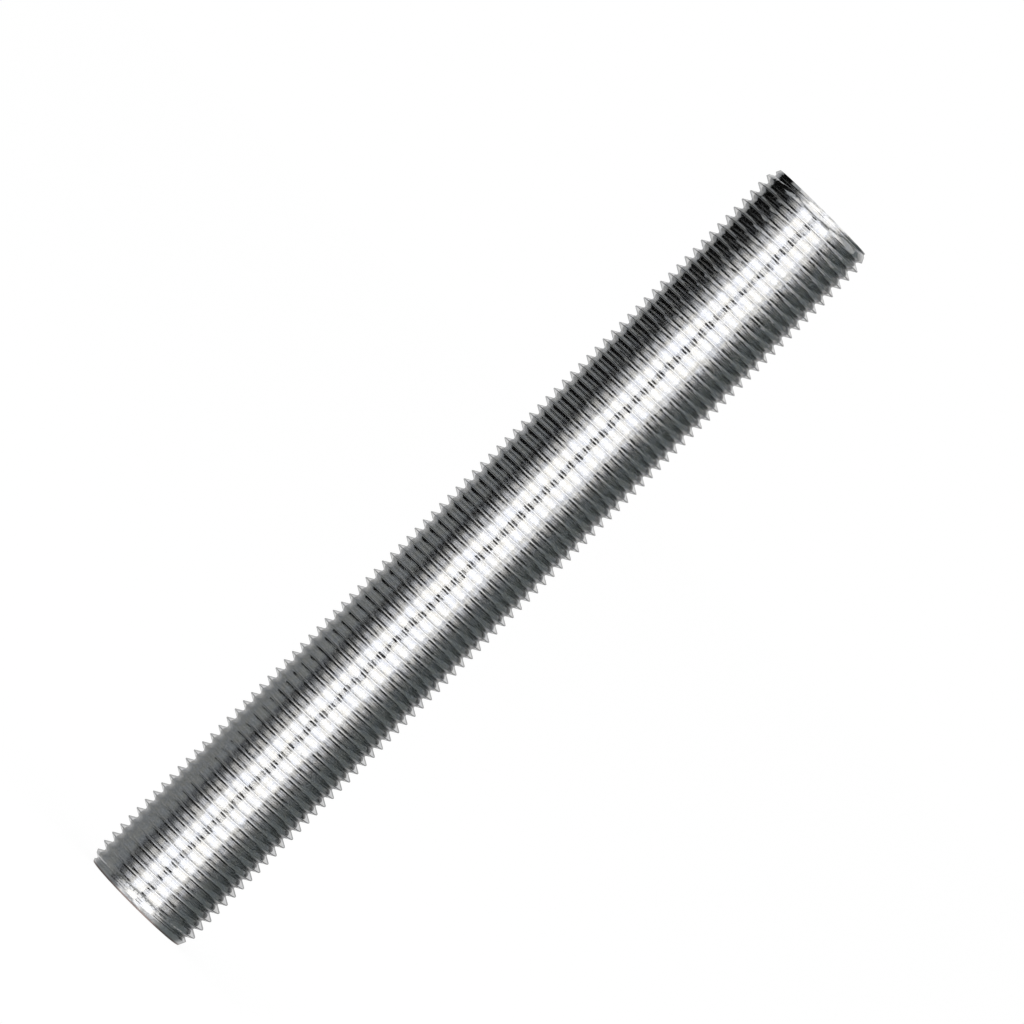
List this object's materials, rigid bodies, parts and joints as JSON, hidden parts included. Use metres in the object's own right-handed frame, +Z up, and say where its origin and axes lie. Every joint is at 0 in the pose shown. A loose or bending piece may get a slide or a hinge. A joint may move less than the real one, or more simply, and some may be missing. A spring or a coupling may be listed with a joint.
{
  "type": "threaded nipple",
  "caption": "Long straight pipe nipple of bright plated steel: a fine parallel thread runs over the whole outside, a plain bore goes right through, and both ends are chamfered.",
  "frame": {"origin": "centre of the lower end face, on which the nipple stands", "axes": "+Z up along the axis of the tube; the nipple is turned, so X and Y are alike"},
  "size_m": [0.021, 0.0208, 0.1524],
  "materials": {
    "plated_steel": "bright nickel-like plating over a cut thread, mirror bright with fine turning lines"
  },
  "bodies": {
    "root": {"threaded_nipple": "plated_steel"}
  },
  "joints": []
}
